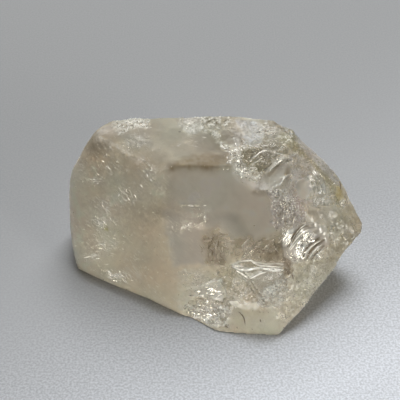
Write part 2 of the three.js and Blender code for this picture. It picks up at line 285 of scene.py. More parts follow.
# A later zone lies over an earlier one.
ZONES = {
    "upper left of the worn end": Zone(10, 4, [(112, 118), (176, 117), (176, 152), (160, 170), (120, 175),
        (90, 160), (95, 135)], dict(tint=(0.86, 0.73, 0.55), etch=0.2, streak=1.0, glint=0.15)),
    "left edge": Zone(8, 3, [(60, 165), (76, 150), (86, 165), (82, 215), (88, 262), (70, 275), (60, 230)],
        dict(clear=0.42, tint=(0.97, 0.91, 0.77))),
    "lower middle of the worn end": Zone(14, 4, [(118, 222), (140, 205), (170, 205), (182, 262), (188, 306),
        (150, 305), (112, 278), (104, 256)], dict(tint=(0.72, 0.64, 0.5))),
    "broken end": Zone(7, 3, [(231, 116), (290, 124), (340, 178), (368, 228), (300, 315), (276, 336),
        (232, 335), (188, 320), (192, 285), (230, 262), (262, 240), (262, 200), (232, 170)], dict(gloss=0.8,
        spark=0.25, clear=0.68, rough=0.26, tint=(0.86, 0.81, 0.67), etch=0.6, glint=0.35, streak=0.3)),
    "window": Zone(8, 1.5, [(171, 160), (232, 160), (244, 170), (256, 180), (266, 184), (272, 200),
        (280, 214), (280, 230), (264, 240), (236, 246), (215, 242), (204, 264), (174, 264), (166, 220)],
        dict(gloss=0.6, spark=0.0, clear=0.72, rough=0.4, tint=(0.97, 0.93, 0.88), etch=0.05, glint=0.03,
        streak=0.25)),
    # The top face's tint is darker than the crystal's own, a painted shade against the lights' glare on the
    # top.
    "top face": Zone(8, 1, [(108, 122), (124, 114), (240, 112), (232, 150), (230, 168.5), (160, 169),
        (140, 158), (118, 142)], dict(gloss=0.0, clear=0.72, rough=0.6, tint=(0.56, 0.51, 0.38), etch=0.15,
        glint=0.1, streak=0.15)),
    "upper left corner": Zone(6, 3, [(86, 148), (95, 128), (112, 119), (124, 132), (114, 144), (98, 155)],
        dict(tint=(0.52, 0.45, 0.34))),
    "below the chips": Zone(6, 3, [(120, 131), (150, 128), (152, 146), (130, 147)],
        dict(tint=(0.45, 0.41, 0.32))),
    "brown band": Zone(4, 4, [(168, 166), (180, 158), (196, 153), (234, 150), (232, 169), (171, 169)],
        dict(gloss=0.0, clear=0.66, rough=0.6, tint=(0.31, 0.23, 0.12), etch=0.15, streak=0.05),
        patchy=0.3),
    "lower middle of the window": Zone(6, 2, [(166, 213), (200, 215), (236, 216), (252, 236), (236, 246),
        (215, 240), (204, 262), (176, 264)], dict(clear=0.72, tint=(0.58, 0.58, 0.57))),
    "lower left of the window": Zone(6, 2, [(166, 228), (198, 224), (206, 262), (176, 264)],
        dict(tint=(0.5, 0.5, 0.5), gloss=0.5)),
    "veil in the window": Zone(5, 5, [(182, 184), (192, 182), (196, 194), (206, 202), (216, 206),
        (212, 222), (200, 230), (182, 232), (178, 206)], dict(clear=0.62, rough=0.48,
        tint=(0.97, 0.95, 0.9), streak=0.0, etch=0.1), patchy=0.8),
    "dark crackle under the window": Zone(6, 6, [(203, 236), (218, 228), (236, 240), (287, 238), (286, 262),
        (250, 259), (234, 262), (222, 272), (206, 262)], dict(spark=0.15, clear=0.85, rough=0.2,
        tint=(0.46, 0.41, 0.34), etch=0.45, glint=0.12, streak=0.6), patchy=0.55),
    "darkest of the crackle": Zone(4, 4, [(203, 240), (214, 232), (226, 242), (224, 262), (208, 262)],
        dict(clear=0.85, tint=(0.26, 0.22, 0.18)), patchy=0.1),
    "brown spot right of the ledge": Zone(2, 2, [(281, 259), (291, 259), (296, 269), (291, 277),
        (283, 272)], dict(clear=0.85, rough=0.2, tint=(0.36, 0.28, 0.2), gloss=0.8), patchy=0.3),
    "pale ground left of the toe": Zone(4, 3, [(182, 268), (204, 266), (214, 280), (196, 288), (190, 300),
        (176, 296)], dict(frost=0.3, spark=0.2, clear=0.6, tint=(0.86, 0.83, 0.72), etch=0.5, glint=0.25),
        patchy=0.5),
    # These zones along the top are darker than their own colour, a painted shade against the lights' glare
    # there.
    "right of the top face": Zone(4, 2, [(192, 134), (208, 136), (228, 136), (228, 152), (196, 153)],
        dict(gloss=0.0, tint=(0.4, 0.36, 0.27))),
    "white patch on top": Zone(2.5, 2, [(177, 116), (201, 116), (204, 124), (199, 131), (190, 134),
        (183, 130), (178, 125)], dict(gloss=0.0, spark=0.35, clear=0.3, rough=0.5, tint=(0.37, 0.35, 0.3),
        etch=1.0, glint=0.6), patchy=0.3),
    "rough top edge": Zone(2, 2.5, [(200, 115), (231, 115), (231, 131), (222, 130), (212, 136), (203, 130)],
        dict(spark=0.7, clear=0.45, rough=0.4, tint=(0.45, 0.42, 0.33), etch=1.3, glint=1.0), patchy=0.6),
    "tan facet beside the rim": Zone(2, 2, [(221, 131), (236, 128), (246, 138), (246, 146), (234, 146),
        (224, 140)], dict(clear=0.7, tint=(0.5, 0.46, 0.38), frost=0.0, glint=0.2, etch=0.4, gloss=0.2)),
    "rim of the window's upper corner": Zone(1.5, 2.5, [(212, 131), (219, 133), (222, 140), (232, 147),
        (241, 148), (242, 160), (246, 168), (256, 169), (262, 176), (258, 183), (246, 182), (238, 174),
        (232, 167), (229, 152), (216, 144)], dict(frost=1.0, spark=0.8, clear=0.35, rough=0.22,
        tint=(0.64, 0.6, 0.5), etch=1.5, glint=1.1), patchy=0.65),
    "hollow in the window's upper corner": Zone(2, 1.5, [(241, 145), (262, 141), (282, 140), (288, 152),
        (272, 165), (262, 172), (250, 170), (243, 160)], dict(gloss=1.0, spark=0.3, clear=0.8, rough=0.14,
        tint=(0.64, 0.64, 0.53), etch=0.9, glint=0.25)),
    "between the rim and the hollow": Zone(3, 3, [(258, 180), (266, 172), (276, 180), (282, 190),
        (268, 198), (256, 192)], dict(gloss=0.0, clear=0.7, tint=(0.5, 0.46, 0.4), frost=0.1, spark=0.2,
        etch=0.5, glint=0.3)),
    # The striated facet's grey tint is a painted shade against the lights' glare on it.
    "striated facet": Zone(2, 1.5, [(236, 120), (254, 120), (262, 126), (267, 131), (262, 139), (250, 144),
        (244, 138)], dict(gloss=0.2, spark=0.3, clear=0.35, rough=0.4, tint=(0.55, 0.56, 0.58), etch=0.9,
        glint=0.7), patchy=0.4),
    "right of the striated facet": Zone(3, 2, [(262, 117), (290, 124), (300, 138), (280, 143), (266, 138)],
        dict(gloss=0.2, clear=0.7, tint=(0.5, 0.48, 0.4), etch=0.6), patchy=0.3),
    "hollow in the upper right face": Zone(2.5, 1.5, [(276, 172), (286, 160), (300, 155), (314, 162),
        (328, 180), (330, 206), (310, 208), (296, 200), (280, 190)], dict(gloss=1.0, clear=0.75, rough=0.18,
        tint=(0.88, 0.88, 0.82), etch=0.25, glint=0.1)),
    "fibrous zone": Zone(5, 5, [(266, 190), (282, 186), (296, 190), (308, 208), (304, 222), (284, 228),
        (270, 226)], dict(spark=0.15, clear=0.65, rough=0.2, tint=(0.86, 0.79, 0.78), etch=1.2, glint=0.8,
        streak=1.0), patchy=0.3),
    "ridge between the hollows": Zone(3, 2, [(264, 172), (274, 164), (288, 162), (290, 176), (284, 188),
        (268, 188)], dict(gloss=0.0, clear=0.75, rough=0.5, tint=(0.5, 0.46, 0.39), etch=0.3, glint=0.15,
        spark=0.0)),
    "smooth grey facet of that hollow": Zone(1.5, 1, [(297, 179), (310, 175), (313, 190), (306, 201),
        (298, 196), (294, 187)], dict(gloss=1.0, clear=0.68, rough=0.3, tint=(0.97, 0.97, 0.94), etch=0.03,
        glint=0.02, spark=0.0)),
    "smooth right of the fibrous zone": Zone(3, 1, [(308, 205), (334, 205), (340, 222), (322, 226),
        (306, 222)], dict(clear=0.72, rough=0.3, tint=(0.83, 0.8, 0.7), etch=0.2, glint=0.1)),
    "olive strip": Zone(2.5, 2, [(282, 130), (292, 134), (318, 160), (340, 190), (347, 206), (341, 208),
        (328, 186), (306, 158), (276, 140)], dict(spark=0.3, clear=0.72, rough=0.25, tint=(0.7, 0.66, 0.47),
        etch=0.5)),
    "grey facet at the right edge": Zone(2, 0.8, [(296, 132), (304, 138), (318, 154), (334, 172),
        (342, 188), (336, 184), (316, 164), (300, 146)], dict(clear=0.7, rough=0.25,
        tint=(0.86, 0.86, 0.85), etch=0.1, glint=0.1)),
    "yellow spot at the edge": Zone(2.5, 1, [(336, 186), (341, 187), (344, 198), (339, 201), (336, 196)],
        dict(clear=0.5, rough=0.3, tint=(0.68, 0.57, 0.28))),
    "yellow spot at the worn end": Zone(1.2, 0.5, [(103.5, 224), (107, 224), (108, 231), (104.5, 230)],
        dict(clear=0.5, tint=(0.6, 0.55, 0.16))),
    "ripple shell": Zone(1.5, 0.8, SHELL, dict(gloss=0.8, spark=0.0, clear=0.5, rough=0.12,
        tint=(0.82, 0.79, 0.72), etch=0.12, glint=0.08, streak=0.0)),
    # The next two zones paint the ripple shell's blown-out highlights as pale, nearly opaque tint: painted
    # highlights.
    "painted highlight lobe of the ripple shell": Zone(1, 0.6, [(282, 246), (283, 238), (287, 232), (294, 228.5),
        (292, 234), (288, 240), (287, 247)], dict(clear=0.1, rough=0.16, tint=(0.97, 0.96, 0.9), etch=0.3,
        glint=0.15)),
    "painted highlight band of the ripple shell": Zone(1, 0.6, [(295, 257), (296, 249), (300, 241), (305, 235),
        (312, 232), (317, 235), (309, 243), (303, 249), (301, 258)], dict(clear=0.1, rough=0.16,
        tint=(0.97, 0.96, 0.92), etch=0.3, glint=0.15)),
    "grey facet under the ledge": Zone(2.5, 1.5, [(252, 277), (264, 272), (284, 273), (282, 286),
        (268, 298), (260, 292)], dict(spark=0.0, clear=0.8, rough=0.18, tint=(0.7, 0.69, 0.64), etch=0.2,
        glint=0.1)),
    "pale crackle under the ledge": Zone(4, 4, [(262, 288), (282, 278), (290, 290), (284, 304), (262, 308),
        (256, 300)], dict(frost=0.6, spark=0.7, clear=0.55, rough=0.22, tint=(0.84, 0.87, 0.82), etch=1.2,
        glint=0.8), patchy=0.5),
    "brown slant under the ledge": Zone(4, 3, [(218, 274), (234, 270), (246, 284), (258, 300), (246, 306),
        (230, 296)], dict(spark=0.3, clear=0.7, rough=0.22, tint=(0.68, 0.62, 0.48), etch=0.7)),
    "cream facet": Zone(2.5, 3, [(193, 287), (206, 283), (220, 281), (226, 294), (222, 302), (206, 300),
        (193, 297)], dict(gloss=1.0, frost=0.3, spark=0.1, clear=0.55, rough=0.32, tint=(0.97, 0.97, 0.92),
        etch=0.5, glint=0.2), patchy=0.25),
    "frosted toe": Zone(5, 5, [(181, 305), (196, 299), (222, 303), (236, 306), (229, 318), (238, 332),
        (206, 326), (186, 317)], dict(gloss=1.0, frost=0.3, spark=0.3, clear=0.55, rough=0.25,
        tint=(0.97, 0.97, 0.9), etch=1.2, glint=0.5), patchy=0.5),
    "low cream facet": Zone(10, 7, [(236, 305), (256, 306), (278, 312), (284, 322), (274, 335), (236, 334),
        (226, 322)], dict(frost=0.15, spark=0.1, clear=0.55, rough=0.32, tint=(0.85, 0.87, 0.71), etch=0.3,
        glint=0.1, streak=0.1)),
    "right slope": Zone(4, 3, [(292, 264), (330, 246), (345, 250), (340, 262), (312, 296), (290, 318),
        (280, 310), (290, 290)], dict(frost=0.15, spark=0.4, clear=0.62, rough=0.32,
        tint=(0.69, 0.65, 0.48), etch=0.8, glint=0.4)),
    "tip": Zone(4, 2, [(336, 214), (350, 204), (366, 228), (352, 250), (338, 252)], dict(spark=0.2,
        clear=0.62, rough=0.35, tint=(0.62, 0.57, 0.42), etch=0.5)),
    "chips on the upper left edge": Zone(2, 2.5, [(114, 122), (122, 117), (146, 115), (150, 122),
        (148, 129), (138, 126), (131, 132), (119, 134), (113, 128)], dict(frost=1.5, spark=0.6, clear=0.35,
        rough=0.22, tint=(0.58, 0.55, 0.47), etch=1.4, glint=1.0), patchy=0.6),
}


def arc(middle, radius, start, end, count=9):
    """Points of an arc in the photograph, between two angles that turn clockwise from its right."""
    turns = [math.radians(start + (end - start) * i / (count - 1)) for i in range(count)]
    return [(middle[0] + radius * math.cos(turn), middle[1] + radius * math.sin(turn)) for turn in turns]


# The ripple shell's dark lines, laid as dark slivers and dark crease edges: a painted dark reflection of its
# ripples.
PAINTED_DARK_RIPPLE_LINES = [
    [(289, 246), (290.5, 241), (293, 235.5), (297, 230.5), (303, 225)], [(292.5, 242), (296, 234.5),
    (301, 228.5), (308, 225.5)], [(302.5, 258), (304, 251.5), (308, 246.5), (313, 242), (319, 238.5)],
    [(307, 258), (309.5, 252), (314, 247.5), (319, 243.5), (324, 240)], [(311, 260), (315, 254.5),
    (319, 250), (324, 246)],
]
# Its bright lines, pale opaque slivers that mirror a light and are partly a painted highlight.
RIPPLE_GLINTS = [
    [(290.5, 245), (292, 239.5), (295, 234), (299.5, 228.5), (305, 225)], [(288.5, 250), (293, 243.5),
    (298, 237), (303, 232), (309, 229)], [(289.5, 251), (295, 244), (300, 238)], [(304.5, 258),
    (306.5, 252), (311, 247), (316, 243), (321, 240.5)], [(309, 259), (312.5, 253), (317, 248.5),
    (322, 244.5)], [(313, 262), (317, 256), (320, 252.5), (323, 249.5)], [(286, 245), (286, 240),
    (289, 235), (293, 231)], [(298, 256), (299, 250), (303, 244), (308, 239), (313, 235)],
]

CREASES = {
    "upper lip of the ledge": Crease(0.18, 1.0, 0.9, [(233, 265), (240, 262), (251, 260.5), (256, 263.5),
        (266, 264.5), (283, 265)], broken=False),
    "lower lip of the ledge": Crease(0.2, 1.4, 1.0, [(234, 268), (242, 270.5), (250, 270), (258, 268),
        (270, 269.5), (283, 270.5)], broken=False),
    "groove of the ledge": Crease(-0.2, 1.0, 0.8, [(239, 265.5), (247, 266), (256, 266), (270, 267),
        (282, 267.5)], edge="dark"),
    "rising line": Crease(0.12, 0.9, 0.8, [(249, 278), (254, 274.5), (262, 272)]),
    "slant edge": Crease(-0.5, 1.0, 0.35, [(236, 271), (243, 278), (250, 288), (257, 298)], reach=7),
    "second slant edge": Crease(-0.5, 1.0, 0.5, [(247, 277), (253, 285), (261, 297)], edge="dark", reach=6),
    "third slant edge": Crease(0.4, 1.2, 0.3, [(219, 278), (228, 288), (236, 298), (242, 304)], reach=8),
    "arc between the hollows": Crease(0.25, 1.4, 0.8, [(267, 174), (273, 167), (280, 161), (288, 157),
        (297, 153)]),
    "arc beside it": Crease(-0.2, 1.0, 0.5, [(270, 176), (276, 169), (283, 163), (292, 159)], edge="dark"),
    "lip in the lower hollow": Crease(0.35, 1.0, 0.7, [(280, 185), (284, 177), (291, 174), (301, 176)],
        reach=6),
    "upper lip in the window's corner": Crease(0.4, 1.0, 0.5, [(254, 157), (260, 152), (268, 150),
        (277, 153)], reach=7),
    "lower lip in the window's corner": Crease(0.3, 1.0, 0.5, [(250, 166), (258, 161), (266, 162)],
        reach=6),
    "step under the striated facet": Crease(-0.4, 1.0, 0.6, [(244, 140), (251, 144), (262, 139), (272, 137),
        (281, 135)], reach=8),
    "upper stria": Crease(0.12, 0.8, 0.6, [(255, 124), (266, 126), (277, 127)]),
    "middle stria": Crease(0.12, 0.8, 0.6, [(257, 129), (268, 131), (278, 129)]),
    "lower stria": Crease(0.12, 0.8, 0.6, [(262, 135), (270, 133), (280, 131)]),
    "outer edge streak": Crease(0.15, 0.8, 0.7, [(284, 124), (292, 130), (300, 137)]),
    "inner edge streak": Crease(-0.15, 1.2, 0.7, [(274, 123), (283, 128), (291, 134), (297, 140)],
        edge="dark"),
    "top of the cream facet": Crease(0.35, 1.0, 0.3, [(193, 287), (203, 285), (213, 281), (222, 280)],
        reach=9),
    "foot of the cream facet": Crease(-0.4, 1.0, 0.3, [(194, 299), (206, 298), (222, 303)], edge="dark",
        reach=9),
    "top of the low cream facet": Crease(0.1, 1.2, 0.1, [(225, 309), (233, 306), (246, 308), (262, 305),
        (277, 311)], reach=10),
}
CREASES.update({
    f"line {radius} of the upper right hollow": Crease(0.07, 1.0, 0.35, arc((296, 192), radius, -65, 30))
    for radius in (17, 21, 25, 29)
})
# Grooves along the ripple shell's lines, with a painted dark reflection on their edge.
CREASES.update({
    f"dark ripple {i}": Crease(-0.16, 1.3, share, line, edge="dark", broken=False, stray=0.25)
    for i, (share, line) in enumerate(zip((0.9, 0.5, 0.9, 0.7, 0.6), PAINTED_DARK_RIPPLE_LINES))
})
CREASES.update({f"fibre {i}": Crease(0.12, 0.9, 0.4, line) for i, line in enumerate([
    [(284, 190), (289, 197), (294, 204)], [(279, 193), (285, 201), (290, 208)], [(289, 190), (295, 196),
    (300, 202)], [(291, 207), (290, 214), (287, 222)], [(296, 206), (297, 213), (299, 219)], [(284, 208),
    (285, 215), (282, 222)], [(275, 200), (278, 208), (277, 216)], [(270, 206), (273, 214), (272, 222)],
])})

# Lines of slivers: pale strokes of the worn end, lips of the ledge and of the scars, and dark cracks.
PALE_STROKES = [
    [(187, 207), (194, 206), (201, 206)], [(180, 229), (186, 226), (192, 228), (199, 224), (203, 222)],
    [(188, 142), (192, 142)], [(176, 146), (181, 146.5)], [(194, 146), (198, 147)], [(201, 137),
    (207, 138)], [(98, 222), (102, 227)], [(146, 173), (150, 178), (153, 182)], [(107, 165), (112, 171)],
    [(92, 179), (96, 179.5)], [(96, 183), (100, 184)], [(126, 195), (132, 202)], [(140, 184), (144, 188)],
    [(98, 242), (106, 247)], [(84, 258), (92, 256), (99, 255)], [(106, 270), (113, 273), (119, 277)],
    [(118, 272), (124, 278), (129, 284)], [(228, 240), (235, 241)], [(240, 247), (250, 238)], [(265, 240),
    (270, 237)], [(287, 141), (291, 139)], [(228, 122), (235, 123)], [(306, 162), (312, 160)], [(341, 202),
    (343, 205)], [(283, 148), (288, 150)], [(261, 151), (268, 150)],
]
# The ledge's lips, laid as pale opaque slivers that mirror a light and are partly a painted highlight.
LIPS = [
    [(234, 263), (240, 261.5), (251, 260.5), (255, 263.5), (259, 265.5), (270, 266.5), (283, 267.5)],
    [(233, 267), (240, 269.5), (246, 270.5), (254, 269), (261, 268.5), (272, 270), (283, 270.5)],
    [(260, 269.5), (272, 271), (282, 271.5)], [(234, 265.5), (239, 266.5), (244, 267)], [(236, 270),
    (243, 274.5), (249, 279)], [(249, 279.5), (254, 277), (260, 274), (267, 272)],
]
THIN_LIPS = [
    [(268, 173), (273, 167), (280, 161), (286, 157.5)], [(287, 157), (292, 155), (297, 153)], [(281, 184),
    (284, 178), (291, 174.5)], [(292, 174), (301, 176)], [(254, 157), (260, 152.5), (268, 150.5)],
    [(256, 162), (262, 158), (267, 157.5)], [(252, 134), (262, 131), (273, 131), (281, 130)], [(262, 137),
    (272, 134), (280, 132)],
]
FAINT_LIPS = [arc((296, 192), radius, start, end, 7) for radius, start, end in
              ((18, -60, 20), (22, -62, 30), (26, -55, 35), (30, -50, 10))]
FAINT_LIPS += [arc((318, 202), radius, 0, 300, 9) for radius in (3, 5.5)]
DARK_STROKES = [
    [(237.7, 311.4), (241, 313.5), (243.8, 317), (244.8, 321), (245.3, 325.7)], [(260, 319), (261, 322)],
    [(225, 325), (228, 328)], [(339.3, 181), (340.2, 185), (340.4, 190)], [(286, 263), (290, 268)],
    [(292, 273), (293.5, 280)], [(286, 269), (289, 275)], [(211, 243), (214, 236)], [(208, 250),
    (210, 244)], [(217, 249), (219, 240)], [(212, 257), (213, 250)],
]

VEILS = {
    "high on the left": Veil((97, 181), (8, 4), 14, 25, 34, bright=0.15),
    "upper left": Veil((110, 166), (11, 9), 55, 25, 50, bright=0.12, haze=0.3),
    "beside the top edge": Veil((134, 143), (14, 9), 36, 34, 90, bright=0.12, haze=0.12),
    "long slant": Veil((149, 172), (6, 12), 52, 12, 36, bright=0.2),
    "middle of the worn end": Veil((126, 195), (10, 8), 45, 20, 80, bright=0.12),
    "left of the middle": Veil((105, 207), (10, 6), 35, 25, 50, bright=0.12),
    "by the yellow spot": Veil((102, 222), (11, 5), 35, 30, 80, bright=0.14),
    "low slants": Veil((108, 245), (12, 7), 25, 15, 90, bright=0.12),
    "low flats": Veil((93, 256), (9, 3), -6, 10, 40, bright=0.12),
    "pinkish sparkle": Veil((117, 276), (12, 5), 36, 24, 90, bright=0.3, width=(0.05, 0.16)),
    "streak of the veil in the window": Veil((191, 205.5), (8, 1), 3, 8, 22, bright=0, solid=1,
        half=(0.6, 2.4), width=(0.04, 0.12), haze=0.05, streaks=0.0, lean=0.03),
    "foot of it": Veil((186, 227), (9, 3.5), 20, 40, 60, bright=0, solid=1, half=(0.4, 1.8),
        width=(0.04, 0.14), haze=0.05, streaks=0.0, lean=0.03),
    "right foot of it": Veil((202, 219), (5, 6), -50, 40, 40, bright=0, solid=1, half=(0.4, 1.4),
        width=(0.04, 0.14), haze=0.05, streaks=0.0, lean=0.03),
    "dark crackle": Veil((215, 251), (9, 10), 75, 50, 26, bright=0, haze=0.05),
    "brown needles": Veil((252, 250), (20, 8), -35, 50, 80, half=(1.5, 6.0), width=(0.04, 0.09), haze=0.05),
    "pale ground left of the toe": Veil((196, 276), (9, 5), 20, 40, 30),
    "top face": Veil((192, 143), (12, 6), 5, 10, 25, bright=0, haze=0.1),
    "fibres": Veil((286, 203), (9, 9), 62, 16, 80),
    "fibres below": Veil((284, 218), (10, 5), 95, 18, 50),
    "striated facet": Veil((262, 131), (12, 5), -12, 10, 50),
    "cream facet": Veil((207, 292), (11, 8), -12, 18, 52, width=(0.08, 0.35)),
    "frosted toe": Veil((206, 314), (19, 8), 20, 40, 46, half=(0.5, 2.8), width=(0.05, 0.22)),
    "right slope": Veil((312, 280), (13, 15), -20, 45, 80, half=(0.4, 2)),
    "sparkles by the foot": Veil((305, 305), (5, 4), -20, 60, 30, half=(0.4, 1.4)),
    "sparkles on the foot's corner": Veil((284, 317), (5, 4), -30, 60, 24, half=(0.4, 1.4)),
    "sparkles right of the foot": Veil((292, 294), (6, 5), 10, 60, 26, half=(0.4, 1.4)),
    "sparkles by the edge": Veil((342, 203), (2.5, 4), 60, 60, 22, half=(0.4, 1.2)),
    "sparkles of the upper right hollow": Veil((321, 202), (5, 2.5), 30, 60, 22, half=(0.4, 1.2)),
    "chips on the upper left edge": Veil((134, 121), (9, 3), 10, 50, 40, half=(0.5, 2)),
    "sparkle beside the chips": Veil((146, 125), (3, 3), 20, 60, 26, half=(0.4, 1.2)),
    "hollow in the window's upper corner": Veil((265, 153), (8, 6), -28, 16, 34, half=(0.8, 2.6)),
    "arc between the hollows": Veil((284, 160), (10, 5), -30, 14, 40, half=(0.8, 3)),
    "lips of the lower hollow": Veil((288, 178), (6, 3), -20, 25, 24, half=(0.8, 2)),
    "lilac sparkle": Veil((275, 190), (9, 7), 30, 50, 40, half=(0.5, 1.6)),
    "left lobe of the ripple shell": Veil((287, 238), (3.2, 6), -60, 8, 60, half=(0.8, 3),
        width=(0.08, 0.3)),
    "band of the ripple shell": Veil((299.5, 250), (3.5, 7), -65, 20, 80, half=(0.8, 3), width=(0.1, 0.4)),
    "top of that band": Veil((306, 239.5), (5.5, 5), -45, 20, 110, half=(0.8, 3), width=(0.1, 0.4)),
    "foot of the ripple shell": Veil((293, 256), (7, 5), 40, 30, 34, half=(0.5, 2), width=(0.06, 0.2)),
    "right of the ripple shell": Veil((317, 255), (6, 5), -50, 12, 50, half=(0.6, 2.4), width=(0.06, 0.2)),
    "rim of the window's corner": Veil((233, 157), (8, 11), 55, 40, 70, half=(0.4, 1.6), width=(0.06, 0.25),
        haze=0.1),
    "lower rim of it": Veil((245, 172), (6, 5), 30, 35, 50, half=(0.4, 1.6), width=(0.06, 0.25), haze=0.1),
    "fan of the ledge": Veil((239, 266.5), (5, 2), 14, 8, 12, half=(0.8, 3), width=(0.06, 0.2)),
    "right lip of the ledge": Veil((273, 270), (10, 1), 2, 4, 12, half=(1, 4), width=(0.08, 0.24)),
    "white patch on top": Veil((190, 125), (10, 7), 20, 50, 8, half=(0.4, 1.8), width=(0.06, 0.25)),
    "pale ground": Veil((188, 282), (14, 9), 20, 40, 44, bright=0.4, half=(0.6, 2.6)),
    "tip": Veil((346, 228), (8, 10), 40, 50, 12),
}

# Clusters of dark needles.
CRACKLES = {
    "dark crackle": Veil((214, 247), (9, 11), 80, 30, 70),
    "brown needles": Veil((254, 251), (22, 8), -35, 60, 90),
    "under the ledge": Veil((286, 276), (5, 7), 60, 40, 26),
    "fibres": Veil((286, 208), (10, 11), 65, 20, 44),
    "striated facet": Veil((260, 128), (14, 6), 15, 20, 22),
    "upper right edge": Veil((284, 130), (9, 5), 38, 8, 16),
    "brown slant": Veil((232, 286), (7, 9), 55, 20, 16),
    "frosted toe": Veil((206, 316), (20, 9), 25, 50, 30),
    "window's upper corner": Veil((240, 160), (8, 12), 50, 50, 24),
}


# ---------------------------------------------------------------- camera

def camera_frame():
    """The camera's place and its right, up and forward directions, in millimetres."""
    sin, cos = math.sin(CAMERA_ELEVATION), math.cos(CAMERA_ELEVATION)
    forward = Vector((0, cos, -sin))
    return LOOK_AT - forward * CAMERA_DISTANCE, Vector((1, 0, 0)), Vector((0, sin, cos)), forward


def way_to(azimuth, elevation):
    """Unit vector to an azimuth, from +X to +Y, and an elevation, both in degrees."""
    a, e = math.radians(azimuth), math.radians(elevation)
    return Vector((math.cos(e) * math.cos(a), math.cos(e) * math.sin(a), math.sin(e)))


def linked(name, data):
    """A new object in the scene, with that mesh, light or camera."""
    thing = bpy.data.objects.new(name, data)
    bpy.context.scene.collection.objects.link(thing)
    return thing


def look_along(thing, place, way):
    """Puts a light or a camera at a place in the scene, looking along a way."""
    thing.location = place
    thing.rotation_mode = "QUATERNION"
    thing.rotation_quaternion = way.to_track_quat("-Z", "Y")


def make_camera():
    place, _, _, forward = camera_frame()
    data = bpy.data.cameras.new("camera")
    data.lens = data.sensor_width / (2 * math.tan(CAMERA_ANGLE / 2))
    data.clip_start, data.clip_end = CAMERA_CLIP
    camera = linked("camera", data)
    look_along(camera, place * MM, forward)
    bpy.context.scene.camera = camera


def focal_pixels():
    return PHOTO_SIDE / 2 / math.tan(CAMERA_ANGLE / 2)


def ray_through(pixel):
    """The camera's place and the direction in which it sees a pixel of the photograph."""
    place, right, up, forward = camera_frame()
    across, down = (part - PHOTO_SIDE / 2 for part in pixel)
    return place, (forward * focal_pixels() + right * across - up * down).normalized()


def pixels_of(co):
    """The pixels at which the camera sees points."""
    place, right, up, forward = (np.array(part) for part in camera_frame())
    away = co - place
    depth = away @ forward
    return PHOTO_SIDE / 2 + focal_pixels() * np.stack([away @ right, -(away @ up)], 1) / depth[:, None]


def facing_camera(co, normals):
    """1 where a surface faces the camera, fading to 0 just past its edge."""
    towards = np.array(camera_frame()[0]) - co
    towards /= np.linalg.norm(towards, axis=1)[:, None]
    return smoothstep(*SEEN, (towards * normals).sum(1))


# ---------------------------------------------------------------- meshes as arrays

def applied(holder):
    """The mesh that an object's modifiers make, without the object."""
    mesh = bpy.data.meshes.new_from_object(holder.evaluated_get(bpy.context.evaluated_depsgraph_get()))
    bpy.data.objects.remove(holder)
    return mesh


def voxel_copy(node, voxel):
    """An even fine mesh over a CAD node, in millimetres."""
    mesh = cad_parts[node].data.copy()
    mesh.transform(Matrix.Scale(1 / MM, 4))
    rough = linked("rough", mesh)
    remesh = rough.modifiers.new("remesh", "REMESH")
    remesh.mode = "VOXEL"
    remesh.voxel_size = voxel
    return applied(rough)


def thinned(mesh, seen):
    """The mesh with fewer faces where it isn't seen, most of all on its flat underside."""
    full = linked("full", mesh)
    unseen = full.vertex_groups.new(name="unseen")
    unseen.add(np.nonzero(~seen)[0].tolist(), 1.0, "REPLACE")
    thin = full.modifiers.new("thin", "DECIMATE")
    thin.ratio = KEPT_FACES
    thin.vertex_group = unseen.name
    return applied(full)


def values_of(collection, key, width, kind=float):
    """A value of each element of a mesh, of that many numbers."""
    values = np.empty(len(collection) * width, kind)
    collection.foreach_get(key, values)
    return values.reshape(-1, width)


def points_of(mesh):
    return values_of(mesh.vertices, "co", 3)


def edges_of(mesh):
    return values_of(mesh.edges, "vertices", 2, int)


def normals_at(mesh, co):
    """Moves the mesh's points to co and gives their normals."""
    mesh.vertices.foreach_set("co", co.ravel())
    mesh.update()
    return values_of(mesh.vertex_normals, "vector", 3)


def neighbour_mean(values, edges):
    """Mean over each point's neighbours, of one number or three at each point."""
    size = len(values)
    a, b = edges.T
    count = np.bincount(a, minlength=size) + np.bincount(b, minlength=size)
    columns = values.reshape(size, -1).T
    sums = [np.bincount(a, column[b], size) + np.bincount(b, column[a], size) for column in columns]
    return (np.array(sums) / count).T.reshape(values.shape)


def relax(values, edges, share, rounds):
    """Draws each point's values towards its neighbours', by its share, that many times."""
    share = share[:, None] if values.ndim == 2 else share
    for _ in range(rounds):
        values = values + share * (neighbour_mean(values, edges) - values)
    return values


def smoothstep(low, high, value):
    t = np.clip((value - low) / (high - low), 0, 1)
    return t * t * (3 - 2 * t)


def noise_at(co, wave, shift):
    """Gradient noise of about -1 to 1 at each point, with that wavelength."""
    moved = co / wave + shift
    return np.array([noise.noise(point) for point in moved.tolist()])


def facets_at(co, cell, shift):
    """Height of small flat facets that tilt at random, about -1 to 1, one in each cell."""
    heights = np.empty(len(co))
    for i, point in enumerate(Vector(part) for part in (co / cell + shift).tolist()):
        middle = noise.voronoi(point)[1][0]
        heights[i] = 2 * (point - middle).dot(noise.cell_vector(middle * CELL_SPREAD) - HALF)
    return heights


def layered(kind, co, layers):
    """Noises or facets at each point, one upon the other."""
    return sum(height * kind(co, wave, shift) for height, wave, shift in layers)


# ---------------------------------------------------------------- zones

def off_side(pixels, start, end):
    """The way to each pixel from a straight side, and the side's own way."""
    side = end - start
    along = np.clip((pixels - start) @ side / (side @ side), 0, 1)
    return pixels - start - along[:, None] * side, side


